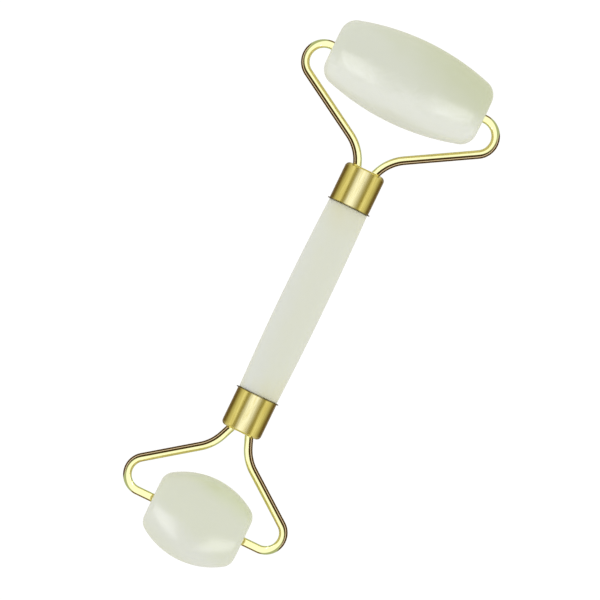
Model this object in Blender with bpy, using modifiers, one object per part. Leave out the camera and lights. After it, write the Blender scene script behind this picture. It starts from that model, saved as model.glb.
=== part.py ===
"""Double-ended face roller: two stone rollers in bent wire yokes, one at each end of a stone handle.

Metres, +Z up. The tool lies on a table (z = 0) on its two rollers, with the handle along Y, the large
end towards +Y, and the roller axes along X. Left is -X. Both ends are built by the same functions, each
under an empty at the outer face of its ferrule whose own +Y points outwards, at the roller.
"""

import math

import bmesh
import bpy
from mathutils import Vector, geometry

MM = 0.001

# Whole tool
OVERALL_LENGTH = 145.0 * MM
ROLLER_RADIUS = 11.3 * MM
ROLLER_SEGMENTS = 32
# One flat facet of a roller rests on the table and another is the tool's end, so the axis stands a
# facet's inner radius from each.
AXIS_HEIGHT = ROLLER_RADIUS * math.cos(math.pi / ROLLER_SEGMENTS)
ROLLER_AXIS_Y = OVERALL_LENGTH / 2 - AXIS_HEIGHT

# Gaps between pieces
GLUE_GAP = 0.1 * MM
RUNNING_CLEARANCE = 0.1 * MM

# Yoke wire
WIRE_RADIUS = 1.1 * MM
WIRE_BEVEL_RESOLUTION = 3
WIRE_ARC_STEP = math.radians(12)
FERRULE_TO_AXIS = 24.55 * MM
LEG_EXIT_OFFSET = 2.54 * MM
LEG_EXIT_ANGLE = math.radians(22)
LEG_BEND_RADIUS = 11.5 * MM
ROOT_BEND_RADIUS = 2.2 * MM
PIN_DEPTH = 7.5 * MM

# What differs between the two ends
ENDS = {
    "large": {
        "turn": 0.0,
        "roller_half_length": 21.05 * MM,
        "barrel_radius": 63.0 * MM,
        "roller_edge_radius": 4.2 * MM,
        "yoke_half_width": 26.15 * MM,
        "yoke_bend_radius": 4.7 * MM,
        "arm_splay": math.radians(59.5),
    },
    "small": {
        "turn": math.pi,
        "roller_half_length": 12.55 * MM,
        "barrel_radius": 19.8 * MM,
        "roller_edge_radius": 3.5 * MM,
        "yoke_half_width": 21.35 * MM,
        "yoke_bend_radius": 4.45 * MM,
        "arm_splay": math.radians(53.5),
    },
}

# Bushes in the roller ends
BUSH_RADIUS = 1.9 * MM
BUSH_FLANGE_RADIUS = 2.6 * MM
BUSH_FLANGE_THICKNESS = 0.6 * MM
BUSH_FLOOR = 0.8 * MM
BUSH_RECESS = 0.1 * MM
BUSH_SEGMENTS = 20
PIN_TIP_CLEARANCE = 0.3 * MM
BUSH_BORE_RADIUS = WIRE_RADIUS + RUNNING_CLEARANCE
BUSH_LENGTH = PIN_DEPTH - BUSH_RECESS + PIN_TIP_CLEARANCE + BUSH_FLOOR

# Ferrules
FERRULE_RADIUS = 5.35 * MM
FERRULE_LENGTH = 10.35 * MM
FERRULE_WALL = 0.45 * MM
FERRULE_CORNER = 1.2 * MM
FERRULE_LIP_RADIUS = 5.8 * MM
FERRULE_LIP_HEIGHT = 0.25 * MM
FERRULE_SEGMENTS = 32
SLOT_HALF_LENGTH = 4.1 * MM
SLOT_HALF_WIDTH = 1.3 * MM
FERRULE_BORE_RADIUS = FERRULE_RADIUS - FERRULE_WALL
FERRULE_END_Y = ROLLER_AXIS_Y - FERRULE_TO_AXIS
FERRULE_RIM_Y = FERRULE_END_Y - FERRULE_LENGTH

# Solder round the yoke's root, and the glue under and round the handle's tenon
SOLDER_DEPTH = 4.45 * MM
SOLDER_BOSS_HALF_LENGTH = 1.3 * MM
GLUE_BED_DEPTH = SOLDER_DEPTH + GLUE_GAP
GLUE_BED_THICKNESS = 0.5 * MM
GLUE_SKIRT_THICKNESS = 0.15 * MM

# Handle
HANDLE_MIDDLE_RADIUS = 5.675 * MM
HANDLE_END_RADIUS = 5.225 * MM
HANDLE_EDGE = 0.15 * MM
HANDLE_SEGMENTS = 32
HANDLE_STATIONS = 8
TENON_RADIUS = 4.55 * MM
TENON_CHAMFER = 0.4 * MM
TENON_END_Y = FERRULE_END_Y - GLUE_BED_DEPTH - GLUE_BED_THICKNESS - GLUE_GAP
HANDLE_SHOULDER_Y = FERRULE_RIM_Y - GLUE_GAP

ARC_STEPS = 4
BARREL_STEPS = 10
MERGE_DISTANCE = 0.01 * MM


def clear_scene():
    for obj in list(bpy.data.objects):
        bpy.data.objects.remove(obj, do_unlink=True)


def new_collection(name, hidden=False):
    collection = bpy.data.collections.new(name)
    collection.hide_render = hidden
    bpy.context.scene.collection.children.link(collection)
    return collection


def new_material(name, colour, roughness, metallic=0.0):
    material = bpy.data.materials.new(name)
    material.use_nodes = True
    shader = material.node_tree.nodes["Principled BSDF"]
    shader.inputs["Base Color"].default_value = (*colour, 1.0)
    shader.inputs["Roughness"].default_value = roughness
    shader.inputs["Metallic"].default_value = metallic
    return material


def arc(centre, radius, start, end, steps=ARC_STEPS):
    """Points on a circle in the profile plane, from one angle to another, ends included."""
    turns = [start + (end - start) * i / steps for i in range(steps + 1)]
    return [
        (centre[0] + radius * math.cos(a), centre[1] + radius * math.sin(a))
        for a in turns
    ]


def rounded_path(corners, radii):
    """A path through the corners, each inner corner replaced by an arc of its own radius."""
    points = [corners[0]]
    for before, corner, after, radius in zip(corners, corners[1:], corners[2:], radii):
        back = (before - corner).normalized()
        ahead = (after - corner).normalized()
        half = back.angle(ahead) / 2
        centre = corner + (back + ahead).normalized() * (radius / math.sin(half))
        start = corner + back * (radius / math.tan(half)) - centre
        turn = math.pi - 2 * half
        side = math.copysign(1, back.x * ahead.y - back.y * ahead.x)
        steps = max(2, round(turn / WIRE_ARC_STEP))
        for i in range(steps + 1):
            angle = -side * turn * i / steps
            cos, sin = math.cos(angle), math.sin(angle)
            points.append(
                centre
                + Vector((start.x * cos - start.y * sin, start.x * sin + start.y * cos))
            )
    points.append(corners[-1])
    return points


def add_object(name, data, parent, collection, material, location=(0, 0, 0), rotation=(0, 0, 0)):
    obj = bpy.data.objects.new(name, data)
    collection.objects.link(obj)
    obj.parent = parent
    obj.location = location
    obj.rotation_euler = rotation
    if material:
        data.materials.append(material)
    return obj


def turned_mesh(name, profile, segments, closed=False):
    """The edges of a (radius, height) profile, turned by half a facet so that a flat faces -X."""
    half_facet = math.pi / segments
    mesh = bpy.data.meshes.new(name)
    vertices = [
        (r * math.cos(half_facet), r * math.sin(half_facet), h) for r, h in profile
    ]
    edges = [(i, i + 1) for i in range(len(profile) - 1)]
    if closed:
        edges.append((len(profile) - 1, 0))
    mesh.from_pydata(vertices, edges, [])
    return mesh


def add_screw(obj, segments):
    screw = obj.modifiers.new("turn", "SCREW")
    screw.axis = "Z"
    screw.angle = 2 * math.pi
    screw.steps = screw.render_steps = segments
    screw.use_merge_vertices = True
    screw.merge_threshold = MERGE_DISTANCE
    screw.use_smooth_shade = True


def add_turned(name, profile, segments, parent, collection, material, closed=False, **place):
    mesh = turned_mesh(name, profile, segments, closed)
    obj = add_object(name, mesh, parent, collection, material, **place)
    add_screw(obj, segments)
    return obj


def add_wire(name, path, radius, parent, collection, material):
    """A round wire along a path in the parent's XY plane."""
    curve = bpy.data.curves.new(name, "CURVE")
    curve.dimensions = "3D"
    curve.bevel_depth = radius
    curve.bevel_resolution = WIRE_BEVEL_RESOLUTION
    curve.use_fill_caps = True
    spline = curve.splines.new("POLY")
    spline.points.add(len(path) - 1)
    for point, place in zip(spline.points, path):
        point.co = (place.x, place.y, 0, 1)
    return add_object(name, curve, parent, collection, material)


def as_mesh(obj, collection):
    """A mesh copy of a curve object, its caps welded; the curve is removed."""
    bpy.context.view_layer.update()
    graph = bpy.context.evaluated_depsgraph_get()
    name, parent, place = obj.name, obj.parent, obj.matrix_world.copy()
    mesh = bpy.data.meshes.new_from_object(obj.evaluated_get(graph))
    bpy.data.objects.remove(obj, do_unlink=True)
    body = bmesh.new()
    body.from_mesh(mesh)
    bmesh.ops.remove_doubles(body, verts=body.verts, dist=MERGE_DISTANCE)
    body.to_mesh(mesh)
    body.free()
    made = add_object(name, mesh, parent, collection, None)
    made.matrix_world = place
    return made


def add_boolean(obj, operation, other):
    boolean = obj.modifiers.new(operation.lower(), "BOOLEAN")
    boolean.operation = operation
    boolean.object = other
    boolean.solver = "EXACT"


def hide_helper(obj):
    obj.hide_render = True
    obj.display_type = "WIRE"


def yoke_path(size):
    """The wire's centre line, from the tip of the left pin, round the root, to the tip of the right pin."""
    splay = size["arm_splay"]
    bend = size["yoke_bend_radius"]
    turn = math.pi / 2 + splay
    outer_x = size["yoke_half_width"] - bend + bend * math.tan(turn / 2)
    tip_x = size["roller_half_length"] - PIN_DEPTH
    reach = 2 * outer_x
    root = Vector((0, -LEG_EXIT_OFFSET / math.tan(LEG_EXIT_ANGLE)))
    outer = Vector((-outer_x, FERRULE_TO_AXIS))
    leg_end = root + reach * Vector((-math.sin(LEG_EXIT_ANGLE), math.cos(LEG_EXIT_ANGLE)))
    arm_end = outer + reach * Vector((math.sin(splay), -math.cos(splay)))
    knee = geometry.intersect_line_line_2d(root, leg_end, outer, arm_end)
    left = [Vector((-tip_x, FERRULE_TO_AXIS)), outer, knee]
    right = [Vector((-point.x, point.y)) for point in reversed(left)]
    radii = [bend, LEG_BEND_RADIUS, ROOT_BEND_RADIUS, LEG_BEND_RADIUS, bend]
    return rounded_path([*left, root, *right], radii)


def roller_profile(size):
    """Closed profile of a barrel with rounded ends, a through bore and a counterbore at each end."""
    half = size["roller_half_length"]
    barrel = size["barrel_radius"]
    edge = size["roller_edge_radius"]
    barrel_centre = ROLLER_RADIUS - barrel
    edge_h = half - edge
    edge_r = barrel_centre + math.sqrt((barrel - edge) ** 2 - edge_h**2)
    tilt = math.atan2(edge_h, edge_r - barrel_centre)
    bore = BUSH_RADIUS + GLUE_GAP
    counterbore = BUSH_FLANGE_RADIUS + GLUE_GAP
    step = half - BUSH_RECESS - BUSH_FLANGE_THICKNESS - GLUE_GAP
    top_edge = arc((edge_r, edge_h), edge, math.pi / 2, tilt)
    side = arc((barrel_centre, 0), barrel, tilt, -tilt, BARREL_STEPS)[1:-1]
    bottom_edge = [(r, -h) for r, h in reversed(top_edge)]
    outside = [(counterbore, half), *top_edge, *side, *bottom_edge, (counterbore, -half)]
    inside = [(counterbore, -step), (bore, -step), (bore, step), (counterbore, step)]
    return outside + inside


def bush_profile():
    """A blind flanged cup, its mouth at height 0."""
    floor = -BUSH_LENGTH
    chamfer = BUSH_RECESS
    return [
        (0, floor + BUSH_FLOOR),
        (BUSH_BORE_RADIUS, floor + BUSH_FLOOR),
        (BUSH_BORE_RADIUS, -chamfer),
        (BUSH_BORE_RADIUS + chamfer, 0),
        (BUSH_FLANGE_RADIUS, 0),
        (BUSH_FLANGE_RADIUS, -BUSH_FLANGE_THICKNESS),
        (BUSH_RADIUS, -BUSH_FLANGE_THICKNESS),
        (BUSH_RADIUS, floor + chamfer),
        (BUSH_RADIUS - chamfer, floor),
        (0, floor),
    ]


def ferrule_profile():
    """A drawn cup, its closed end at height 0 and a flared lip round its rim."""
    inner_corner = FERRULE_CORNER - FERRULE_WALL
    rim = -FERRULE_LENGTH
    lip_top = rim + FERRULE_LIP_HEIGHT
    flare = FERRULE_LIP_RADIUS - FERRULE_RADIUS
    outer = arc((FERRULE_RADIUS - FERRULE_CORNER, -FERRULE_CORNER), FERRULE_CORNER, math.pi / 2, 0)
    inner_centre = (FERRULE_BORE_RADIUS - inner_corner, -FERRULE_WALL - inner_corner)
    inner = arc(inner_centre, inner_corner, 0, math.pi / 2)
    lip = [
        (FERRULE_RADIUS, lip_top + flare),
        (FERRULE_LIP_RADIUS, lip_top),
        (FERRULE_LIP_RADIUS, rim),
        (FERRULE_BORE_RADIUS, rim),
    ]
    return [(0, 0), *outer, *lip, *inner, (0, -FERRULE_WALL)]


def solder_profile():
    """The solder that fills the ferrule's closed end, following its rounded corner."""
    radius = FERRULE_BORE_RADIUS - GLUE_GAP
    corner = FERRULE_CORNER - FERRULE_WALL
    top = -FERRULE_WALL - GLUE_GAP
    shoulder = arc((radius - corner, top - corner), corner, math.pi / 2, 0)
    return [(0, top), *shoulder, (radius, -SOLDER_DEPTH), (0, -SOLDER_DEPTH)]


def glue_profile():
    """A thin cup of glue: a bed under the tenon's end and a skirt round its side."""
    outer = FERRULE_BORE_RADIUS - GLUE_GAP
    inner = outer - GLUE_SKIRT_THICKNESS
    skirt_end = -FERRULE_LENGTH + FERRULE_LIP_HEIGHT
    bed_end = -GLUE_BED_DEPTH - GLUE_BED_THICKNESS
    return [
        (0, -GLUE_BED_DEPTH),
        (outer, -GLUE_BED_DEPTH),
        (outer, skirt_end),
        (inner, skirt_end),
        (inner, bed_end),
        (0, bed_end),
    ]


def handle_profile():
    """A slightly swelling bar between two shoulders, with a tenon beyond each."""
    half = HANDLE_SHOULDER_Y
    swell = HANDLE_MIDDLE_RADIUS - HANDLE_END_RADIUS
    tenon = [
        (0, TENON_END_Y),
        (TENON_RADIUS - TENON_CHAMFER, TENON_END_Y),
        (TENON_RADIUS, TENON_END_Y - TENON_CHAMFER),
        (TENON_RADIUS, half),
        (HANDLE_END_RADIUS - HANDLE_EDGE, half),
    ]
    body = []
    for i in range(HANDLE_STATIONS + 1):
        y = (half - HANDLE_EDGE) * (1 - 2 * i / HANDLE_STATIONS)
        body.append((HANDLE_END_RADIUS + swell * (1 - (y / half) ** 2), y))
    return tenon + body + [(r, -y) for r, y in reversed(tenon)]


def add_box_cutter(name, half_x, half_z, y_from, y_to, parent, collection):
    bpy.ops.mesh.primitive_cube_add(size=1)
    obj = bpy.context.object
    for other in list(obj.users_collection):
        other.objects.unlink(obj)
    collection.objects.link(obj)
    obj.name = name
    for vertex in obj.data.vertices:
        x, y, z = vertex.co
        vertex.co = (2 * half_x * x, (y + 0.5) * (y_to - y_from) + y_from, 2 * half_z * z)
    obj.parent = parent
    hide_helper(obj)
    return obj


def add_slot_cutter(name, parent, collection):
    """A flat outline with round ends, extruded through the ferrule's end wall."""
    curve = bpy.data.curves.new(name, "CURVE")
    curve.dimensions = "2D"
    curve.fill_mode = "BOTH"
    curve.extrude = 2 * FERRULE_WALL
    outline = []
    straight = SLOT_HALF_LENGTH - SLOT_HALF_WIDTH
    for side in (1, -1):
        start = -side * math.pi / 2
        outline += arc((side * straight, 0), SLOT_HALF_WIDTH, start, start + math.pi, 2 * ARC_STEPS)
    spline = curve.splines.new("POLY")
    spline.points.add(len(outline) - 1)
    for point, (x, y) in zip(spline.points, outline):
        point.co = (x, y, 0, 1)
    spline.use_cyclic_u = True
    obj = add_object(name, curve, parent, collection, None, rotation=(math.pi / 2, 0, 0))
    cutter = as_mesh(obj, collection)
    hide_helper(cutter)
    return cutter


def add_ferrule(side, parent, parts, cutters, metal):
    outwards = (-math.pi / 2, 0, 0)
    ferrule = add_turned(
        f"{side}_ferrule", ferrule_profile(), FERRULE_SEGMENTS, parent, parts, metal, rotation=outwards
    )
    add_boolean(ferrule, "DIFFERENCE", add_slot_cutter(f"{side}_slot_cutter", parent, cutters))


def add_solder(side, path, parent, parts, cutters, metal):
    outwards = (-math.pi / 2, 0, 0)
    solder = add_turned(
        f"{side}_solder", solder_profile(), FERRULE_SEGMENTS, parent, parts, metal, rotation=outwards
    )
    boss_half_width = SLOT_HALF_WIDTH - GLUE_GAP
    boss = add_box_cutter(
        f"{side}_solder_boss", SOLDER_BOSS_HALF_LENGTH, boss_half_width, -WIRE_RADIUS, 0, parent, cutters
    )
    tunnel = add_wire(
        f"{side}_wire_cutter", path, WIRE_RADIUS + GLUE_GAP, parent, cutters, None
    )
    tunnel = as_mesh(tunnel, cutters)
    hide_helper(tunnel)
    add_boolean(solder, "UNION", boss)
    add_boolean(solder, "DIFFERENCE", tunnel)


def add_roller(side, size, parent, parts, stone, plastic):
    """The stone roller on its axis, with a bush let into each end of its bore."""
    along_x = (0, math.pi / 2, 0)
    axis = (0, FERRULE_TO_AXIS, 0)
    add_turned(
        f"{side}_roller",
        roller_profile(size),
        ROLLER_SEGMENTS,
        parent,
        parts,
        stone,
        closed=True,
        location=axis,
        rotation=along_x,
    )
    facing = math.cos(size["turn"])
    mouth = size["roller_half_length"] - BUSH_RECESS
    for name, world_side in (("left", -1), ("right", 1)):
        local_side = world_side * facing
        add_turned(
            f"{side}_{name}_bush",
            bush_profile(),
            BUSH_SEGMENTS,
            parent,
            parts,
            plastic,
            location=(local_side * mouth, FERRULE_TO_AXIS, 0),
            rotation=(0, local_side * math.pi / 2, 0),
        )


def add_end(side, size, parts, cutters, materials):
    end = bpy.data.objects.new(f"{side}_end", None)
    parts.objects.link(end)
    end.location = (0, math.cos(size["turn"]) * FERRULE_END_Y, AXIS_HEIGHT)
    end.rotation_euler = (0, 0, size["turn"])
    path = yoke_path(size)
    add_wire(f"{side}_yoke", path, WIRE_RADIUS, end, parts, materials["polished_gold"])
    add_ferrule(side, end, parts, cutters, materials["satin_gold"])
    add_solder(side, path, end, parts, cutters, materials["solder"])
    add_turned(
        f"{side}_glue",
        glue_profile(),
        FERRULE_SEGMENTS,
        end,
        parts,
        materials["glue"],
        rotation=(-math.pi / 2, 0, 0),
    )
    add_roller(side, size, end, parts, materials["jade"], materials["bush_plastic"])


def main():
    clear_scene()
    parts = new_collection("face_roller")
    cutters = new_collection("cutters", hidden=True)
    materials = {
        "jade": new_material("jade", (0.70, 0.72, 0.61), 0.25),
        "polished_gold": new_material("polished_gold", (0.90, 0.78, 0.36), 0.1, 1.0),
        "satin_gold": new_material("satin_gold", (0.80, 0.68, 0.30), 0.3, 1.0),
        "solder": new_material("solder", (0.80, 0.68, 0.30), 0.4, 1.0),
        "glue": new_material("glue", (0.85, 0.84, 0.78), 0.4),
        "bush_plastic": new_material("bush_plastic", (0.86, 0.86, 0.82), 0.45),
    }
    add_turned(
        "handle",
        handle_profile(),
        HANDLE_SEGMENTS,
        None,
        parts,
        materials["jade"],
        location=(0, 0, AXIS_HEIGHT),
        rotation=(-math.pi / 2, 0, 0),
    )
    for side, size in ENDS.items():
        add_end(side, size, parts, cutters, materials)


main()
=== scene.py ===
import math

import bmesh
import bpy
from mathutils import Matrix, Vector


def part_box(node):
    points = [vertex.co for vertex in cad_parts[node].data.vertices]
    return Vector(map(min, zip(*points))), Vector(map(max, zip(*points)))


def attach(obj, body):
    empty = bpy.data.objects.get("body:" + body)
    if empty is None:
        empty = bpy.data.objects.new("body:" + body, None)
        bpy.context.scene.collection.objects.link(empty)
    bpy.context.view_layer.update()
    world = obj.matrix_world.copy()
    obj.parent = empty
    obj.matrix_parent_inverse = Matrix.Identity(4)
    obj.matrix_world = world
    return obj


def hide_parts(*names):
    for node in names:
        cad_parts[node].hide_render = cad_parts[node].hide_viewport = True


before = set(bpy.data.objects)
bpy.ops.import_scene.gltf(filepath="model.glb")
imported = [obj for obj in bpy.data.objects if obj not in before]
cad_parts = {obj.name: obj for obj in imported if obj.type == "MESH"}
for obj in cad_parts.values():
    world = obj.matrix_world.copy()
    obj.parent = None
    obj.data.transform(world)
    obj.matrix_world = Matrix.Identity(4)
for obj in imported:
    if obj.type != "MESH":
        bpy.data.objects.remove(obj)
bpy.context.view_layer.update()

mm = 0.001
fullTurn = 2 * math.pi
quarterTurn = math.pi / 2
weldDistance = 0.002 * mm
sides = {"large": 1, "small": -1}  # which way along Y each end points
linkedPieces = {}  # which pieces mirror each sheet of light


# Shader graphs: a wrapped socket that takes arithmetic, and one call for every other node

class Wire:
    def __init__(self, graph, socket):
        self.graph = graph
        self.socket = socket

    def calc(self, operation, first, second):
        settings = {"operation": operation}
        return self.graph.add("ShaderNodeMath", settings, {0: first, 1: second}).out("Value")

    def __add__(self, other):
        return self.calc("ADD", self, other)

    def __sub__(self, other):
        return self.calc("SUBTRACT", self, other)

    def __mul__(self, other):
        return self.calc("MULTIPLY", self, other)

    def __abs__(self):
        return self.calc("ABSOLUTE", self, 0.0)

    __radd__ = __add__
    __rmul__ = __mul__


class Step:
    def __init__(self, graph, node):
        self.graph = graph
        self.node = node

    def out(self, name=0):
        return Wire(self.graph, self.node.outputs[name])


class Graph:
    def __init__(self, owner):
        owner.use_nodes = True
        self.tree = owner.node_tree
        self.tree.nodes.clear()

    def add(self, kind, settings=None, values=None):
        node = self.tree.nodes.new(kind)
        for key, value in (settings or {}).items():
            setattr(node, key, value)
        for key, value in (values or {}).items():
            if isinstance(value, Wire):
                self.tree.links.new(value.socket, node.inputs[key])
            else:
                node.inputs[key].default_value = value
        return Step(self, node)

    def mix(self, factor, first, second):
        settings = {"data_type": "RGBA"}
        return self.add("ShaderNodeMix", settings, {0: factor, 6: first, 7: second}).out(2)

    def ease(self, value, start, end, low=0.0, high=1.0):  # smooth step from low to high
        settings = {"interpolation_type": "SMOOTHSTEP"}
        values = {"Value": value, 1: start, 2: end, 3: low, 4: high}
        return self.add("ShaderNodeMapRange", settings, values).out("Result")

    def place(self, centre, stretch=(1.0, 1.0, 1.0)):  # object coordinates about a piece's centre
        coords = self.add("ShaderNodeTexCoord").out("Object")
        moved = self.add(
            "ShaderNodeVectorMath", {"operation": "SUBTRACT"}, {0: coords, 1: tuple(centre)}
        ).out()
        return self.add(
            "ShaderNodeVectorMath", {"operation": "MULTIPLY"}, {0: moved, 1: tuple(stretch)}
        ).out()

    def split(self, vector):
        step = self.add("ShaderNodeSeparateXYZ", None, {0: vector})
        return step.out("X"), step.out("Y"), step.out("Z")

    def noise(self, vector, scale, detail=3.0, roughness=0.5, warp=0.0):
        values = {
            "Vector": vector, "Scale": scale, "Detail": detail,
            "Roughness": roughness, "Distortion": warp,
        }
        return self.add("ShaderNodeTexNoise", None, values).out(0)

    def bump(self, height, distance, strength):
        values = {"Height": height, "Distance": distance, "Strength": strength}
        return self.add("ShaderNodeBump", None, values).out("Normal")

    def shade(self, constants, changing):
        shader = self.add("ShaderNodeBsdfPrincipled", None, {**constants, **changing}).out("BSDF")
        self.add("ShaderNodeOutputMaterial", None, {"Surface": shader})


def newMaterial(name):
    material = bpy.data.materials.new(name)
    return material, Graph(material)


def solidColour(red, green, blue):  # screen colour, 0 to 255, to the shader's linear colour
    def linear(level):
        level /= 255
        return level / 12.92 if level <= 0.04045 else ((level + 0.055) / 1.055) ** 2.4
    return (linear(red), linear(green), linear(blue), 1.0)


# Shaping: a pen that draws a profile by extruding a point, and a lathe that spins it

class Profile:
    # Points are (radius, distance along the axis)
    def __init__(self, radius, along):
        self.mesh = bmesh.new()
        self.tip = self.mesh.verts.new((radius, 0, along))

    def line(self, radius, along):
        made = bmesh.ops.extrude_vert_indiv(self.mesh, verts=[self.tip])
        self.tip = made["verts"][0]
        self.tip.co = (radius, 0, along)
        return self

    def arc(self, centre, angle, steps):  # turns the tip about a centre; positive is anticlockwise
        made = bmesh.ops.spin(
            self.mesh, geom=[self.tip], cent=(centre[0], 0, centre[1]), axis=(0, -1, 0),
            angle=angle, steps=steps,
        )
        self.tip = [part for part in made["geom_last"] if isinstance(part, bmesh.types.BMVert)][0]
        return self

    def close(self, first):
        self.mesh.edges.new((self.tip, first))
        return self

    def lathe(self, segments):
        geometry = self.mesh.verts[:] + self.mesh.edges[:]
        bmesh.ops.spin(
            self.mesh, geom=geometry, cent=(0, 0, 0), axis=(0, 0, 1),
            angle=fullTurn, steps=segments, use_merge=True,
        )
        return self.mesh


def finishMesh(mesh, name, material, body, replaced, place=None, sharpAngle=40):
    bmesh.ops.remove_doubles(mesh, verts=mesh.verts, dist=weldDistance)
    if place:
        bmesh.ops.transform(mesh, matrix=place, verts=mesh.verts)
    bmesh.ops.recalc_face_normals(mesh, faces=mesh.faces)
    data = bpy.data.meshes.new(name)
    mesh.to_mesh(data)
    mesh.free()
    data.shade_smooth()
    data.set_sharp_from_angle(angle=math.radians(sharpAngle))
    piece = bpy.data.objects.new(name, data)
    bpy.context.scene.collection.objects.link(piece)
    data.materials.append(material)
    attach(piece, body)
    if replaced:
        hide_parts(replaced)
    return piece


def applyModifiers(piece):  # leaves the evaluated shape as the piece's own mesh
    bpy.context.view_layer.update()
    graph = bpy.context.evaluated_depsgraph_get()
    shape = bpy.data.meshes.new_from_object(piece.evaluated_get(graph))
    piece.modifiers.clear()
    piece.data = shape


def middle(node):
    low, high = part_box(node)
    return (low + high) / 2


# Stone

jadeLook = {
    "cloudSize": 14 * mm,
    "veinSize": 5 * mm,
    "cloudReach": 0.5,  # how far the clouds move the edge of the green, and the veins that of the whiter side
    "veinReach": 0.7,
    "whiterCrest": (0.7, 1.0, 1.0, 0.3),  # past the first lean the whiter side thins, to the last share
    "roughness": 0.22,
    "roughnessSpread": 0.12,
    "bumpHeight": 0.15 * mm,
    "bumpStrength": 0.2,
    "scatter": 0.3,
    "scatterDepth": 3 * mm,
    # Large roller: partly the stone's own colour, partly painted light and shade; the whiter colour paints
    # light on the handle side, the darker green paints shade on the side away from it
    "large": {
        "pale": (212, 215, 200), "whiter": (226, 228, 218), "green": (198, 203, 170),
        "whiterSide": (0, -1, 0), "whiterSpan": (-0.05, 0.55),
        "greenSide": (0.6, 0.7, 0), "greenSpan": (-0.1, 1.0),
    },
    "small": {
        "pale": (214, 217, 199), "whiter": (217, 219, 208), "green": (210, 216, 186),
        "whiterSide": (-0.4, -1, 0), "whiterSpan": (0.1, 0.6),
        "greenSide": (0.3, 1, 0), "greenSpan": (0.5, 1.0),
    },
    # On the handle the yellowish green at both ends is painted reflected light from the gold caps
    "handle": {
        "pale": (217, 219, 204), "whiter": (217, 219, 210), "green": (215, 213, 182),
        "whiterSide": (-0.8, -0.3, 0), "whiterSpan": (0.0, 0.8),
        "greenSide": (0, 1, 0), "greenSpan": (0.6, 0.95),
    },
}


def jadeMaterial(kind, node):
    # Pale stone with soft clouds, whiter towards one side and greener towards another; on the large roller
    # the whiter side is partly painted light and the darker green partly painted shade
    look = jadeLook
    own = look[kind]
    low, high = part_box(node)
    material, graph = newMaterial(f"{kind}Jade")
    inPlace = graph.place((0, 0, 0))
    unit = graph.place((low + high) / 2, [2 / size for size in high - low])
    cloud = graph.noise(inPlace, 1 / look["cloudSize"], 4.0, 0.5, 0.6)
    vein = graph.noise(inPlace, 1 / look["veinSize"], 6.0, 0.6, 1.2)

    def lean(direction):
        step = graph.add("ShaderNodeVectorMath", {"operation": "DOT_PRODUCT"}, {0: unit, 1: direction})
        return step.out("Value")

    greenLean = lean(own["greenSide"])
    if kind == "handle":  # painted reflected light: the gold caps' warm light tints both of its ends
        greenLean = abs(greenLean)
    whiterLean = lean(own["whiterSide"])
    greenMask = graph.ease(greenLean + (cloud - 0.5) * look["cloudReach"], *own["greenSpan"])
    # On the large roller this whiter side is partly painted light
    whiterMask = graph.ease(whiterLean + (vein - 0.5) * look["veinReach"], *own["whiterSpan"])
    whiterMask = whiterMask * graph.ease(whiterLean, *look["whiterCrest"])
    colour = graph.mix(greenMask, solidColour(*own["pale"]), solidColour(*own["green"]))
    colour = graph.mix(whiterMask, colour, solidColour(*own["whiter"]))
    roughness = look["roughness"] + (vein - 0.5) * look["roughnessSpread"]
    normal = graph.bump(cloud, look["bumpHeight"], look["bumpStrength"])
    constants = {
        "Subsurface Weight": look["scatter"],
        "Subsurface Radius": (1.0, 1.0, 0.8),
        "Subsurface Scale": look["scatterDepth"],
        "IOR": 1.6,
    }
    graph.shade(constants, {"Base Color": colour, "Roughness": roughness, "Normal": normal})
    return material


rollerShapes = {
    "large": {"barrelRadius": 63 * mm, "edgeRadius": 4.2 * mm},
    "small": {"barrelRadius": 19.8 * mm, "edgeRadius": 3.5 * mm},
    "boreRadius": 2.0 * mm,
    "counterboreRadius": 2.7 * mm,
    "counterboreDepth": 0.8 * mm,
    "mouthRound": 0.12 * mm,
    "mouthSteps": 4,
    "edgeSteps": 14,
    "barrelSteps": 48,
    "segments": 144,
}


def makeRoller(side, material):
    # A barrel drawn from one end's counterbore, over the outside, to the other, then through the bore
    shape = rollerShapes
    own = shape[side]
    node = f"{side}_roller"
    low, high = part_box(node)
    half = (high.x - low.x) / 2
    radius = (high.z - low.z) / 2
    barrel, edge = own["barrelRadius"], own["edgeRadius"]
    mouth, bore = shape["counterboreRadius"], shape["boreRadius"]
    barrelCentre = radius - barrel
    edgeAlong = half - edge
    edgeIn = barrelCentre + math.sqrt((barrel - edge) ** 2 - edgeAlong ** 2)
    tilt = math.atan2(edgeAlong, edgeIn - barrelCentre)
    small = shape["mouthRound"]
    step = half - shape["counterboreDepth"]
    pen = Profile(mouth, step)
    first = pen.tip
    pen.line(mouth, half - small)
    pen.arc((mouth + small, half - small), -quarterTurn, shape["mouthSteps"])
    pen.line(edgeIn, half)
    pen.arc((edgeIn, edgeAlong), tilt - quarterTurn, shape["edgeSteps"])
    pen.arc((barrelCentre, 0), -2 * tilt, shape["barrelSteps"])
    pen.arc((edgeIn, -edgeAlong), tilt - quarterTurn, shape["edgeSteps"])
    pen.line(mouth + small, -half)
    pen.arc((mouth + small, -half + small), -quarterTurn, shape["mouthSteps"])
    pen.line(mouth, -step).line(bore, -step).line(bore, step)
    mesh = pen.close(first).lathe(shape["segments"])
    place = Matrix.Translation(middle(node)) @ Matrix.Rotation(quarterTurn, 4, "Y")
    piece = finishMesh(mesh, f"{side}RollerStone", material, node, node, place)
    linkedPieces[f"{side}Stone"] = [piece]


handleShape = {
    "middleRadius": 5.675 * mm,
    "endRadius": 5.225 * mm,
    "tenonRadius": 4.55 * mm,
    "tenonChamfer": 0.4 * mm,
    "edgeRound": 0.15 * mm,
    "edgeSteps": 5,
    "glueGap": 0.1 * mm,
    "stations": 24,
    "segments": 96,
}


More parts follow.
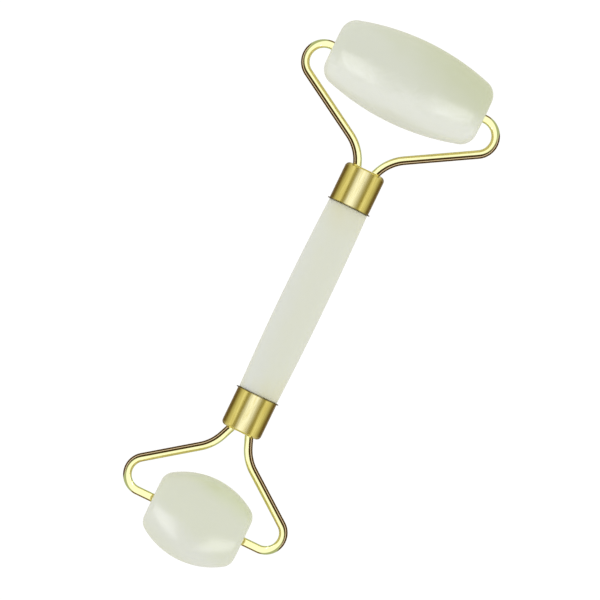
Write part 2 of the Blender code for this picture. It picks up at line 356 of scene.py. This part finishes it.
def makeHandle(material):
    # A bar that swells a little in the middle, with a tenon beyond each shoulder
    shape = handleShape
    low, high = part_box("handle")
    end = (high.y - low.y) / 2
    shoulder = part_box("large_ferrule")[0].y - middle("handle").y - shape["glueGap"]
    tenon, chamfer, small = shape["tenonRadius"], shape["tenonChamfer"], shape["edgeRound"]
    swell = shape["middleRadius"] - shape["endRadius"]
    barHalf = shoulder - small
    pen = Profile(0, end)
    pen.line(tenon - chamfer, end).line(tenon, end - chamfer).line(tenon, shoulder)
    pen.line(shape["endRadius"] - small, shoulder)
    pen.arc((shape["endRadius"] - small, barHalf), -quarterTurn, shape["edgeSteps"])
    for station in range(1, shape["stations"] + 1):
        along = barHalf * (1 - 2 * station / shape["stations"])
        pen.line(shape["endRadius"] + swell * (1 - (along / barHalf) ** 2), along)
    pen.arc((shape["endRadius"] - small, -barHalf), -quarterTurn, shape["edgeSteps"])
    pen.line(tenon, -shoulder).line(tenon, chamfer - end).line(tenon - chamfer, -end).line(0, -end)
    mesh = pen.lathe(shape["segments"])
    place = Matrix.Translation(middle("handle")) @ Matrix.Rotation(-quarterTurn, 4, "X")
    piece = finishMesh(mesh, "handleStone", material, "frame", "handle", place)
    linkedPieces["handleStone"] = [piece]


# Metal

goldLook = {
    "plate": (236, 222, 145),
    "shadowPlate": (228, 210, 124),
    "satin": (234, 216, 118),
    "shadowSatin": (222, 200, 98),
    "driftSize": 6 * mm,  # slow changes of colour along the wire
    "polishSize": 1.2 * mm,
    "wireRoughness": 0.05,
    "polishSpread": 0.05,
    "wireBump": (0.01 * mm, 0.3),  # height and strength
    "capRoughness": 0.22,
    "grain": 0.35 * mm,
    "grainStretch": (1.0, 0.08, 1.0),
    "grainSpread": 0.12,
    "grainSpan": (0.3, 0.7),
    "blotchSize": 4 * mm,
    "blotchSpread": 0.08,
    "capBump": (0.02 * mm, 0.5),
    # a dark olive painted as the shade of the gap at the rolled lip
    "paintedLipShade": (152, 136, 66),
    "lipSpan": (0.16 * mm, 0.28 * mm),
}


def polishedGold(name):
    look = goldLook
    material, graph = newMaterial(name)
    inPlace = graph.place((0, 0, 0))
    drift = graph.noise(inPlace, 1 / look["driftSize"], 3.0)
    polish = graph.noise(inPlace, 1 / look["polishSize"], 5.0, 0.6)
    colour = graph.mix(drift, solidColour(*look["plate"]), solidColour(*look["shadowPlate"]))
    roughness = look["wireRoughness"] + polish * look["polishSpread"]
    normal = graph.bump(polish, *look["wireBump"])
    constants = {"Metallic": 1.0}
    graph.shade(constants, {"Base Color": colour, "Roughness": roughness, "Normal": normal})
    return material


def satinGold(name):
    # Fine drawn grain along the cap, with painted shade darkening the rolled lip where it meets the stone
    look = goldLook
    material, graph = newMaterial(name)
    stretched = graph.place((0, 0, 0), look["grainStretch"])
    grain = graph.noise(stretched, 1 / look["grain"], 3.0, 0.6)
    blotch = graph.noise(graph.place((0, 0, 0)), 1 / look["blotchSize"], 3.0)
    shadowed = graph.ease(grain, *look["grainSpan"])
    colour = graph.mix(shadowed, solidColour(*look["satin"]), solidColour(*look["shadowSatin"]))
    # Painted shade: the rim's last fraction of a millimetre is darkened like the shadowed gap at the stone
    fromRim = abs(graph.split(graph.place((0, 0, 0)))[1]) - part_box("large_ferrule")[0].y
    paintedLipShade = graph.ease(fromRim, *look["lipSpan"], 1.0, 0.0)
    colour = graph.mix(paintedLipShade, colour, solidColour(*look["paintedLipShade"]))
    roughness = look["capRoughness"] + (grain - 0.5) * look["grainSpread"]
    roughness = roughness + (blotch - 0.5) * look["blotchSpread"]
    normal = graph.bump(grain, *look["capBump"])
    constants = {"Metallic": 1.0}
    graph.shade(constants, {"Base Color": colour, "Roughness": roughness, "Normal": normal})
    return material


ferruleShape = {
    "radius": 5.35 * mm,
    "wall": 0.45 * mm,
    "corner": 1.2 * mm,
    "lipRadius": 5.8 * mm,
    "lipThickness": 0.22 * mm,
    "lipRound": 0.07 * mm,
    "slotHalfLength": 4.1 * mm,
    "slotHalfWidth": 1.3 * mm,
    "slotSegments": 48,
    "cornerSteps": 12,
    "boreSteps": 8,
    "lipSteps": 4,
    "segments": 128,
    "sharpAngle": 35,
}


def slotCutter(place):
    # Two discs pulled apart along X make a slot with round ends
    shape = ferruleShape
    mesh = bmesh.new()
    reach = shape["slotHalfLength"] - shape["slotHalfWidth"]
    bmesh.ops.create_circle(
        mesh, cap_ends=True, segments=shape["slotSegments"], radius=shape["slotHalfWidth"]
    )
    for vertex in mesh.verts:
        if abs(vertex.co.x) > weldDistance:
            vertex.co.x += math.copysign(reach, vertex.co.x)
    made = bmesh.ops.extrude_face_region(mesh, geom=mesh.faces[:])
    lifted = [part for part in made["geom"] if isinstance(part, bmesh.types.BMVert)]
    bmesh.ops.translate(mesh, verts=lifted, vec=(0, 0, 4 * shape["wall"]))
    bmesh.ops.translate(mesh, verts=mesh.verts, vec=(0, 0, -2 * shape["wall"]))
    bmesh.ops.transform(mesh, matrix=place, verts=mesh.verts)
    bmesh.ops.recalc_face_normals(mesh, faces=mesh.faces)
    data = bpy.data.meshes.new("slotCutter")
    mesh.to_mesh(data)
    mesh.free()
    cutter = bpy.data.objects.new("slotCutter", data)
    bpy.context.scene.collection.objects.link(cutter)
    return cutter


def makeFerrule(side, material):
    # A drawn cup with a rolled lip, and the slot for the wire legs cut through its closed end
    shape = ferruleShape
    node = f"{side}_ferrule"
    low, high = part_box(node)
    length = high.y - low.y
    endY = high.y if sides[side] > 0 else low.y
    radius, corner, wall = shape["radius"], shape["corner"], shape["wall"]
    bore, lip = radius - wall, shape["lipRadius"]
    lipTop = -length + shape["lipThickness"]
    small, steps = shape["lipRound"], shape["lipSteps"]
    pen = Profile(0, 0).line(radius - corner, 0)
    pen.arc((radius - corner, -corner), -quarterTurn, shape["cornerSteps"])
    pen.line(radius, lipTop + small).arc((radius + small, lipTop + small), quarterTurn, steps)
    pen.line(lip - small, lipTop).arc((lip - small, lipTop - small), -quarterTurn, steps)
    pen.line(lip, -length + small)
    pen.arc((lip - small, -length + small), -quarterTurn, steps)
    pen.line(bore + small, -length).arc((bore + small, -length + small), -quarterTurn, steps)
    pen.line(bore, -corner).arc((radius - corner, -corner), quarterTurn, shape["boreSteps"])
    pen.line(0, -wall)
    mesh = pen.lathe(shape["segments"])
    place = Matrix.Translation((0, endY, middle(node).z))
    place = place @ Matrix.Rotation(-sides[side] * quarterTurn, 4, "X")
    sharpAngle = shape["sharpAngle"]
    piece = finishMesh(mesh, f"{side}Cap", material, "frame", node, place, sharpAngle)
    cutter = slotCutter(place)
    cut = piece.modifiers.new("slot", "BOOLEAN")
    cut.operation = "DIFFERENCE"
    cut.solver = "EXACT"
    cut.object = cutter
    applyModifiers(piece)
    bpy.data.objects.remove(cutter, do_unlink=True)
    piece.data.shade_smooth()
    piece.data.set_sharp_from_angle(angle=math.radians(sharpAngle))
    linkedPieces.setdefault("caps", []).append(piece)


yokeShape = {
    "large": {"halfWidth": 26.15 * mm, "bendRadius": 4.7 * mm, "splay": math.radians(59.5)},
    "small": {"halfWidth": 21.35 * mm, "bendRadius": 4.45 * mm, "splay": math.radians(53.5)},
    "wireRadius": 1.1 * mm,
    "reach": 24.55 * mm,  # from the ferrule's end to the roller's axis
    "legOffset": 2.54 * mm,
    "legAngle": math.radians(22),
    "legBendRadius": 11.5 * mm,
    "rootBendRadius": 2.2 * mm,
    "pinDepth": 7.5 * mm,
    "tipRings": ((0.25 * mm, 0.86), (0.1 * mm, 0.7)),  # each ring's advance and its scale
    "sides": 28,
    "bendStep": math.radians(3),
    "sharpAngle": 50,
}


class WireBender:
    # Grows a round wire in its own XY plane: straight runs are extruded, bends are spun
    def __init__(self, start, heading, radius, ringSides):
        self.mesh = bmesh.new()
        self.position = Vector((start.x, start.y, 0))
        self.heading = heading
        turn = Matrix.Rotation(heading, 4, "Z") @ Matrix.Rotation(quarterTurn, 4, "Y")
        place = Matrix.Translation(self.position) @ turn
        made = bmesh.ops.create_circle(
            self.mesh, cap_ends=False, segments=ringSides, radius=radius, matrix=place
        )
        self.firstRing = self.ringEdges(made["verts"])
        self.ring = self.firstRing
        self.cap(self.firstRing, -1)

    def ringEdges(self, verts):
        chosen = set(verts)
        return [edge for edge in self.mesh.edges if set(edge.verts) <= chosen]

    def direction(self):
        return Vector((math.cos(self.heading), math.sin(self.heading), 0))

    def cap(self, ring, way):  # rounds a tip with shrinking rings and a face, beyond the ring it is given
        verts = {vertex for edge in ring for vertex in edge.verts}
        centre = sum((vertex.co for vertex in verts), Vector()) / len(verts)
        edges = ring
        for advance, size in yokeShape["tipRings"]:
            made = bmesh.ops.extrude_edge_only(self.mesh, edges=edges)["geom"]
            fresh = [part for part in made if isinstance(part, bmesh.types.BMVert)]
            bmesh.ops.translate(self.mesh, verts=fresh, vec=way * advance * self.direction())
            centre = centre + way * advance * self.direction()
            about = Matrix.Translation(-centre)
            bmesh.ops.scale(self.mesh, vec=(size, size, size), space=about, verts=fresh)
            edges = self.ringEdges(fresh)
        bmesh.ops.contextual_create(self.mesh, geom=edges)

    def straight(self, length):
        made = bmesh.ops.extrude_edge_only(self.mesh, edges=self.ring)["geom"]
        fresh = [part for part in made if isinstance(part, bmesh.types.BMVert)]
        step = length * self.direction()
        bmesh.ops.translate(self.mesh, verts=fresh, vec=step)
        self.position = self.position + step
        self.ring = self.ringEdges(fresh)

    def bend(self, radius, angle, stepAngle):  # positive angles turn left
        side = math.copysign(1, angle)
        sideways = Vector((-math.sin(self.heading), math.cos(self.heading), 0))
        centre = self.position + side * radius * sideways
        steps = max(3, round(abs(angle) / stepAngle))
        made = bmesh.ops.spin(
            self.mesh, geom=self.ring, cent=centre, axis=(0, 0, 1), angle=angle, steps=steps
        )
        self.ring = [part for part in made["geom_last"] if isinstance(part, bmesh.types.BMEdge)]
        self.heading += angle
        self.position = centre - side * radius * Vector(
            (-math.sin(self.heading), math.cos(self.heading), 0)
        )


def crossing(first, firstWay, second, secondWay):  # where two lines in the plane meet
    across = firstWay.cross(secondWay)
    return first + firstWay * ((second - first).cross(secondWay) / across)


def yokeCorners(side, tipX):
    # Corners of the wire's centre line, seen from the ferrule's end face, with each corner's bend radius
    shape = yokeShape
    own = shape[side]
    bend, splay, leg = own["bendRadius"], own["splay"], shape["legAngle"]
    outerX = own["halfWidth"] - bend + bend * math.tan((quarterTurn + splay) / 2)
    root = Vector((0, -shape["legOffset"] / math.tan(leg)))
    outer = Vector((-outerX, shape["reach"]))
    legWay = Vector((-math.sin(leg), math.cos(leg)))
    armWay = Vector((math.sin(splay), -math.cos(splay)))
    knee = crossing(root, legWay, outer, armWay)
    left = [Vector((-tipX, shape["reach"])), outer, knee]
    right = [Vector((-point.x, point.y)) for point in reversed(left)]
    radii = [bend, shape["legBendRadius"], shape["rootBendRadius"], shape["legBendRadius"], bend]
    return [*left, root, *right], radii


def wirePlan(corners, radii):
    # Straight runs between corners, the turn at each corner, and how much a bend takes off each run
    runs = [after - before for before, after in zip(corners, corners[1:])]
    headings = [math.atan2(run.y, run.x) for run in runs]
    turns = []
    for before, after in zip(headings, headings[1:]):
        turns.append((after - before + math.pi) % fullTurn - math.pi)
    trims = [radius * math.tan(abs(turn) / 2) for radius, turn in zip(radii, turns)]
    return runs, turns, trims


def yokePlace(side):
    # From the yoke's own plane, with its origin at the ferrule's end face, to the tool's frame
    low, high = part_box(f"{side}_ferrule")
    endY = high.y if sides[side] > 0 else low.y
    place = Matrix.Translation((0, endY, middle(f"{side}_ferrule").z))
    return place if sides[side] > 0 else place @ Matrix.Rotation(math.pi, 4, "Z")


def makeYoke(side, material):
    shape = yokeShape
    rollerLow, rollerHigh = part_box(f"{side}_roller")
    tipX = (rollerHigh.x - rollerLow.x) / 2 - shape["pinDepth"]
    corners, radii = yokeCorners(side, tipX)
    runs, turns, trims = wirePlan(corners, radii)
    heading = math.atan2(runs[0].y, runs[0].x)
    wire = WireBender(corners[0], heading, shape["wireRadius"], shape["sides"])
    for run, turn, radius, before, after in zip(runs, turns, radii, [0] + trims, trims):
        wire.straight(run.length - before - after)
        wire.bend(radius, turn, shape["bendStep"])
    wire.straight(runs[-1].length - trims[-1])
    wire.cap(wire.ring, 1)
    piece = finishMesh(
        wire.mesh, f"{side}Wire", material, "frame", f"{side}_yoke",
        yokePlace(side), shape["sharpAngle"],
    )
    linkedPieces[f"{side}Wire"] = [piece]


# Bushes, solder and glue

bushShape = {
    "flangeRadius": 2.6 * mm,
    "flangeThickness": 0.6 * mm,
    "radius": 1.9 * mm,
    "boreRadius": 1.2 * mm,
    "floor": 0.8 * mm,
    "round": 0.12 * mm,
    "roundSteps": 4,
    "segments": 64,
}

innerLook = {
    "nylon": {
        "light": (232, 232, 224), "dark": (214, 214, 202), "patchSize": 1.5 * mm,
        "roughness": 0.35, "roughnessSpread": 0.15, "scatter": 0.2, "scatterDepth": 1 * mm,
    },
    "solder": {
        "light": (214, 196, 120), "dark": (170, 148, 74), "patchSize": 0.8 * mm,
        "roughness": 0.3, "roughnessSpread": 0.3, "bump": (0.1 * mm, 0.6),
    },
    "glue": {
        "light": (222, 216, 190), "dark": (202, 194, 160), "patchSize": 2 * mm,
        "roughness": 0.3, "roughnessSpread": 0.3, "refraction": 1.5,
    },
}


def nylon(name):
    look = innerLook["nylon"]
    material, graph = newMaterial(name)
    cloud = graph.noise(graph.place((0, 0, 0)), 1 / look["patchSize"], 4.0)
    colour = graph.mix(cloud, solidColour(*look["light"]), solidColour(*look["dark"]))
    roughness = look["roughness"] + cloud * look["roughnessSpread"]
    constants = {"Subsurface Weight": look["scatter"], "Subsurface Scale": look["scatterDepth"]}
    graph.shade(constants, {"Base Color": colour, "Roughness": roughness})
    return material


def makeBush(side, hand, material):
    # A blind flanged cup, its mouth facing out of the roller's end
    shape = bushShape
    node = f"{side}_{hand}_bush"
    low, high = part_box(node)
    length = high.x - low.x
    way = -1 if hand == "left" else 1
    mouthX = low.x if way < 0 else high.x
    small, bore, flange = shape["round"], shape["boreRadius"], shape["flangeRadius"]
    steps = shape["roundSteps"]
    pen = Profile(0, shape["floor"] - length).line(bore, shape["floor"] - length)
    pen.line(bore, -small).arc((bore + small, -small), -quarterTurn, steps)
    pen.line(flange - small, 0).arc((flange - small, -small), -quarterTurn, steps)
    pen.line(flange, -shape["flangeThickness"]).line(shape["radius"], -shape["flangeThickness"])
    pen.line(shape["radius"], small - length)
    pen.arc((shape["radius"] - small, small - length), -quarterTurn, steps).line(0, -length)
    mesh = pen.lathe(shape["segments"])
    centre = middle(node)
    place = Matrix.Translation((mouthX, centre.y, centre.z)) @ Matrix.Rotation(way * quarterTurn, 4, "Y")
    name = f"{side}{hand.title()}Bush"
    piece = finishMesh(mesh, name, material, f"{side}_roller", node, place)
    linkedPieces["caps"].append(piece)


def solderMaterial(name):
    look = innerLook["solder"]
    material, graph = newMaterial(name)
    lumps = graph.noise(graph.place((0, 0, 0)), 1 / look["patchSize"], 4.0, 0.6)
    colour = graph.mix(lumps, solidColour(*look["light"]), solidColour(*look["dark"]))
    roughness = look["roughness"] + lumps * look["roughnessSpread"]
    normal = graph.bump(lumps, *look["bump"])
    constants = {"Metallic": 1.0}
    graph.shade(constants, {"Base Color": colour, "Roughness": roughness, "Normal": normal})
    return material


def glueMaterial(name):
    look = innerLook["glue"]
    material, graph = newMaterial(name)
    cloud = graph.noise(graph.place((0, 0, 0)), 1 / look["patchSize"], 4.0)
    colour = graph.mix(cloud, solidColour(*look["light"]), solidColour(*look["dark"]))
    roughness = look["roughness"] + cloud * look["roughnessSpread"]
    graph.shade({"IOR": look["refraction"]}, {"Base Color": colour, "Roughness": roughness})
    return material


def finishInnerNodes():
    # The inner solids are right as they are and only take a finish
    finishes = {"solder": solderMaterial("castSolder"), "glue": glueMaterial("curedGlue")}
    for side in sides:
        for kind, material in finishes.items():
            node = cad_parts[f"{side}_{kind}"]
            node.data.materials.clear()
            node.data.materials.append(material)
            linkedPieces["caps"].append(node)


# Studio

studio = {
    "leanDegrees": 25.75,  # how far the handle leans from the picture's vertical
    "viewWidth": 151.4 * mm,
    "cameraDistance": 1.0,
    "sensorWidth": 36.0,
    "centreX": -0.81 * mm,
    "centreY": -0.14 * mm,
    "floorSize": 6.0,
    "floorGlow": 0.93,
    "floorPaint": 0.12,
    "fibreSize": 2 * mm,
    "fibreShade": 0.98,
    "nearClip": 0.01,
    "farClip": 20,
}


def makeCamera():
    lens = bpy.data.cameras.new("productCamera")
    lens.sensor_width = studio["sensorWidth"]
    lens.lens = studio["sensorWidth"] * studio["cameraDistance"] / studio["viewWidth"]
    lens.clip_start = studio["nearClip"]
    lens.clip_end = studio["farClip"]
    camera = bpy.data.objects.new("productCamera", lens)
    height = middle("handle").z + studio["cameraDistance"]
    camera.location = (studio["centreX"], studio["centreY"], height)
    camera.rotation_euler = (0, 0, math.radians(studio["leanDegrees"]))
    bpy.context.scene.collection.objects.link(camera)
    bpy.context.scene.camera = camera


def makeFloor():
    mesh = bmesh.new()
    bmesh.ops.create_grid(mesh, x_segments=2, y_segments=2, size=studio["floorSize"] / 2)
    data = bpy.data.meshes.new("paperFloor")
    mesh.to_mesh(data)
    mesh.free()
    floor = bpy.data.objects.new("paperFloor", data)
    bpy.context.scene.collection.objects.link(floor)
    material, graph = newMaterial("whitePaper")
    paint, glow = studio["floorPaint"], studio["floorGlow"]
    fibre = graph.noise(graph.place((0, 0, 0)), 1 / studio["fibreSize"], 3.0)
    shaded = studio["fibreShade"] * paint
    colour = graph.mix(fibre, (paint, paint, paint, 1.0), (shaded, shaded, shaded, 1.0))
    constants = {"Emission Color": (1.0, 1.0, 1.0, 1.0), "Emission Strength": glow}
    graph.shade({**constants, "Specular IOR Level": 0.0}, {"Base Color": colour, "Roughness": 0.9})
    data.materials.append(material)
    floor.visible_glossy = False  # so that the gold's edges stay dark, as over a studio table


room = {
    "skyForDiffuse": 1.03,
    "darkRoom": (0.075, 0.042, 0.018),
    "radii": {  # all different, so that no two spheres lie in one place
        "caps": 0.30, "largeStone": 0.34, "smallStone": 0.345,
        "handleStone": 0.42, "largeWire": 0.38, "smallWire": 0.385,
    },
    "segments": 64,
    "rings": 32,
    "overheadStrip": (1.22, 1.42, 3.4),
    "sideStrip": (0.92, 0.99, 1.2),
    "capFill": (0.26, 0.27, 0.135),
    "capRim": (0.07, 0.06, 0.03),
    "endWall": (0.95, 1.02, 1.5),
    "stoneFill": (0.66, 0.67, 0.6),
    "stoneWindow": (3.2, 3.2, 3.2),
    "wireLine": (1.15, 1.1, 1.9),
    "wireBelow": (0.1, 0.085, 0.05),
}


def makeWorld():
    # White all round for soft light, and a dark room in every mirror
    world = bpy.data.worlds.new("studioRoom")
    bpy.context.scene.world = world
    graph = Graph(world)
    path = graph.add("ShaderNodeLightPath")

    def background(red, green, blue):
        return graph.add("ShaderNodeBackground", None, {"Color": (red, green, blue, 1.0)}).out()

    sky = room["skyForDiffuse"]
    values = {0: path.out("Is Glossy Ray"), 1: background(sky, sky, sky), 2: background(*room["darkRoom"])}
    blended = graph.add("ShaderNodeMixShader", None, values).out()
    values = {0: path.out("Is Camera Ray"), 1: blended, 2: background(1.0, 1.0, 1.0)}
    blended = graph.add("ShaderNodeMixShader", None, values).out()
    graph.add("ShaderNodeOutputWorld", None, {"Surface": blended})


def stageGlow(mesh, name, kind, paintGlow):
    # A sheet of light that only one kind of piece mirrors, and that lets what is behind it through
    data = bpy.data.meshes.new(name)
    mesh.to_mesh(data)
    mesh.free()
    sheet = bpy.data.objects.new(name, data)
    bpy.context.scene.collection.objects.link(sheet)
    material, graph = newMaterial(f"{name}Glow")
    glow = graph.add("ShaderNodeEmission", None, {"Color": paintGlow(graph)}).out()
    clear = graph.add("ShaderNodeBsdfTransparent").out()
    both = graph.add("ShaderNodeAddShader", None, {0: glow, 1: clear}).out()
    graph.add("ShaderNodeOutputMaterial", None, {"Surface": both})
    material.cycles.emission_sampling = "NONE"
    data.materials.append(material)
    sheet.visible_camera = False
    sheet.visible_diffuse = False
    sheet.visible_shadow = False
    sheet.visible_transmission = False
    receivers = bpy.data.collections.new(f"{name}Receivers")
    for piece in linkedPieces[kind]:
        receivers.objects.link(piece)
    sheet.light_linking.receiver_collection = receivers


def stageRoom(kind, centre, paintGlow):  # a glowing sphere round one kind of piece
    mesh = bmesh.new()
    radius = room["radii"][kind]
    bmesh.ops.create_uvsphere(
        mesh, u_segments=room["segments"], v_segments=room["rings"], radius=radius
    )
    bmesh.ops.translate(mesh, verts=mesh.verts, vec=centre)

    def paint(graph):
        x, y, z = graph.split(graph.place(centre, [1 / radius] * 3))
        return paintGlow(graph, x, y, z)

    stageGlow(mesh, f"{kind}Room", kind, paint)


def degreesOf(graph, operation, *values):  # an angle in degrees from one or two direction parts
    step = graph.add("ShaderNodeMath", {"operation": operation}, dict(enumerate(values)))
    return step.out() * (180 / math.pi)


capBands = {  # spans in degrees from straight up, over which each band rises or falls away
    "overheadRise": (-44, -14),
    "overheadFall": (2, 46),
    "sideRise": (50, 60),
    "sideFall": (60, 122),
    "rimRise": (96, 122),
    "endRise": (74, 86),
    "endFall": (116, 140, 1.0, 0.1),  # with its first and last share
    "endAcross": (50, 80, 1.0, 0.15),
}


def makeCapRoom():
    # One strip overhead, a little to the left, one along each side, and a bright wall past each end
    bands = capBands

    def paint(graph, x, y, z):
        tilt = 2 * degreesOf(graph, "ARCTAN2", x, 1 + z)
        endTilt = 2 * degreesOf(graph, "ARCTAN2", abs(y), 1 + z)
        overhead = graph.ease(tilt, *bands["overheadRise"])
        overhead = overhead * graph.ease(tilt, *bands["overheadFall"], 1.0, 0.0)
        beside = graph.ease(abs(tilt), *bands["sideRise"])
        beside = beside * graph.ease(abs(tilt), *bands["sideFall"], 1.0, 0.0)
        rim = graph.ease(abs(tilt), *bands["rimRise"])
        ending = graph.ease(endTilt, *bands["endRise"]) * graph.ease(endTilt, *bands["endFall"])
        ending = ending * graph.ease(abs(tilt), *bands["endAcross"])
        colour = graph.mix(rim, (*room["capFill"], 1.0), (*room["capRim"], 1.0))
        colour = graph.mix(beside, colour, (*room["sideStrip"], 1.0))
        colour = graph.mix(overhead, colour, (*room["overheadStrip"], 1.0))
        return graph.mix(ending, colour, (*room["endWall"], 1.0))

    stageRoom("caps", (0, 0, middle("handle").z), paint)


windows = {  # leans from straight up, towards X and Y, and half sizes, in degrees
    "large": {"leanX": 31, "leanY": -26, "halfX": 11, "halfY": 24, "soft": 8},
    "small": {"leanX": 53, "leanY": -48, "halfX": 21, "halfY": 24, "soft": 13},
}


def makeStoneRooms():
    # A faint even room in every stone, and two soft windows that show on each roller
    for side, window in windows.items():
        def paint(graph, x, y, z):
            offX = abs(abs(degreesOf(graph, "ARCTAN2", x, z)) - window["leanX"])
            offY = abs(degreesOf(graph, "ARCTAN2", y, z) - window["leanY"])
            soft = window["soft"]
            across = graph.ease(offX, window["halfX"] - soft, window["halfX"] + soft, 1.0, 0.0)
            along = graph.ease(offY, window["halfY"] - soft, window["halfY"] + soft, 1.0, 0.0)
            return graph.mix(across * along, (*room["stoneFill"], 1.0), (*room["stoneWindow"], 1.0))

        stageRoom(f"{side}Stone", middle(f"{side}_roller"), paint)
    stageRoom("handleStone", middle("handle"), lambda graph, x, y, z: (*room["stoneFill"], 1.0))


wireDome = {
    "flare": 20,  # degrees by which the dome's wall leans out over the wire
    "wallHeight": 40 * mm,
    "topHeight": 60 * mm,
    "skirt": 40 * mm,
    "glow": (1.24, 1.48, 2.35),
    "skirtGlow": (0.43, 0.6, 0.68),
    "skirtSpan": (3 * mm, 10 * mm),
    "topInset": 10 * mm,
    "bendSteps": 8,
    "beyond": 30 * mm,  # how far the dome runs past the roller's axis
    "farSpan": (10 * mm, 20 * mm),  # past the axis, where the skirt turns to its far glow
    "farSkirtGlow": (0.14, 0.12, 0.08),
}

wireRing = {  # the ring that is mirrored as a line along each arm
    "rise": (63, 67),  # degrees from straight up
    "fall": (76, 80),
    "handleSide": (-0.5, -0.2),  # shares of the room's radius
    "belowFall": (-0.8, -0.5),
}


def domeCorners(side):
    # The wire's line round its arms, carried on past the roller so that the pins lie inside
    own = yokeShape[side]
    corners, radii = yokeCorners(side, 0.0)
    outer, knee, root = corners[1:4]
    edge = Vector((-own["halfWidth"], yokeShape["reach"] + wireDome["beyond"]))
    left = [edge, crossing(edge, Vector((0, 1)), outer, knee - outer), knee]
    right = [Vector((-point.x, point.y)) for point in reversed(left)]
    return [*left, root, *right], radii


def loopOutline(mesh, corners, radii):
    # A bent line as a ring of vertices: straight runs extruded, bends spun
    runs, turns, trims = wirePlan(corners, radii)
    tip = mesh.verts.new((*corners[0], 0))
    ring = [tip]
    for corner, run, turn, radius, trim in zip(corners[1:], runs, turns, radii, trims):
        way = run.normalized()
        start = corner - way * trim
        side = math.copysign(1, turn)
        centre = start + side * radius * Vector((-way.y, way.x))
        tip = bmesh.ops.extrude_vert_indiv(mesh, verts=[tip])["verts"][0]
        tip.co = (*start, 0)
        ring.append(tip)
        known = set(mesh.verts)
        made = bmesh.ops.spin(
            mesh, geom=[tip], cent=(*centre, 0), axis=(0, 0, 1),
            angle=turn, steps=wireDome["bendSteps"],
        )
        ring += [vertex for vertex in mesh.verts if vertex not in known]
        tip = [part for part in made["geom_last"] if isinstance(part, bmesh.types.BMVert)][0]
    tip = bmesh.ops.extrude_vert_indiv(mesh, verts=[tip])["verts"][0]
    tip.co = (*corners[-1], 0)
    return [*ring, tip]


def makeWireDomes():
    # A glowing dome over each yoke's loop, mirrored only by its own wire, lights the loop's inner side
    shape = wireDome
    lean = math.tan(math.radians(shape["flare"]))
    for side, way in sides.items():
        mesh = bmesh.new()
        corners, radii = domeCorners(side)
        rows = (
            (-shape["skirt"], 0.0), (0.0, 0.0), (shape["wallHeight"], lean * shape["wallHeight"]),
            (shape["topHeight"], -shape["topInset"]),
        )
        outline = loopOutline(mesh, corners, radii)
        base = mesh.faces.new(outline)
        centre = base.calc_center_median()
        halfWidth = yokeShape[side]["halfWidth"]
        bmesh.ops.translate(mesh, verts=base.verts, vec=(0, 0, rows[0][0]))
        face = base
        for (below, outBelow), (above, outAbove) in zip(rows, rows[1:]):
            made = bmesh.ops.extrude_face_region(mesh, geom=[face])["geom"]
            if face is not base:  # no sheet is left inside the dome
                bmesh.ops.delete(mesh, geom=[face], context="FACES_ONLY")
            face = [part for part in made if isinstance(part, bmesh.types.BMFace)][0]
            growth = (halfWidth + outAbove) / (halfWidth + outBelow)
            about = Matrix.Translation(-centre)
            bmesh.ops.scale(mesh, vec=(growth, growth, 1), space=about, verts=face.verts)
            bmesh.ops.translate(mesh, verts=face.verts, vec=(0, 0, above - below))
        place = yokePlace(side)
        bmesh.ops.transform(mesh, matrix=place, verts=mesh.verts)
        height = place.translation.z
        axisY = abs(middle(f"{side}_roller").y)
        farSpan = [axisY + past for past in shape["farSpan"]]

        def paintDome(graph):
            x, y, z = graph.split(graph.place((0, 0, height)))
            far = graph.ease(y * way, *farSpan)
            skirt = graph.mix(far, (*shape["skirtGlow"], 1.0), (*shape["farSkirtGlow"], 1.0))
            return graph.mix(graph.ease(z, *shape["skirtSpan"]), skirt, (*shape["glow"], 1.0))

        def paintLine(graph, x, y, z):
            # A thin ring on the handle's side, mirrored as a line along each arm, and a dim glow below
            angle = degreesOf(graph, "ARCCOSINE", z)
            ring = graph.ease(angle, *wireRing["rise"]) * graph.ease(angle, *wireRing["fall"], 1.0, 0.0)
            ring = ring * graph.ease(y * -way, *wireRing["handleSide"])
            colour = graph.mix(ring, (0, 0, 0, 1), (*room["wireLine"], 1.0))
            below = graph.ease(z, *wireRing["belowFall"], 1.0, 0.0)
            return graph.mix(below, colour, (*room["wireBelow"], 1.0))

        stageGlow(mesh, f"{side}Dome", f"{side}Wire", paintDome)
        stageRoom(f"{side}Wire", middle(f"{side}_roller"), paintLine)


def build():
    makeCamera()
    makeFloor()
    print("stage: camera and floor placed")
    for side in sides:
        makeRoller(side, jadeMaterial(side, f"{side}_roller"))
    makeHandle(jadeMaterial("handle", "handle"))
    print("stone: two rollers and the handle turned")
    wireGold = polishedGold("polishedGold")
    capGold = satinGold("satinGold")
    bushNylon = nylon("bushNylon")
    for side in sides:
        makeFerrule(side, capGold)
        makeYoke(side, wireGold)
        for hand in ("left", "right"):
            makeBush(side, hand, bushNylon)
    print("metal: ferrules, wires and bushes made")
    finishInnerNodes()
    makeWorld()
    makeCapRoom()
    makeStoneRooms()
    makeWireDomes()
    bpy.context.scene.view_settings.view_transform = "Standard"
    print("studio: rooms and domes lit")


build()
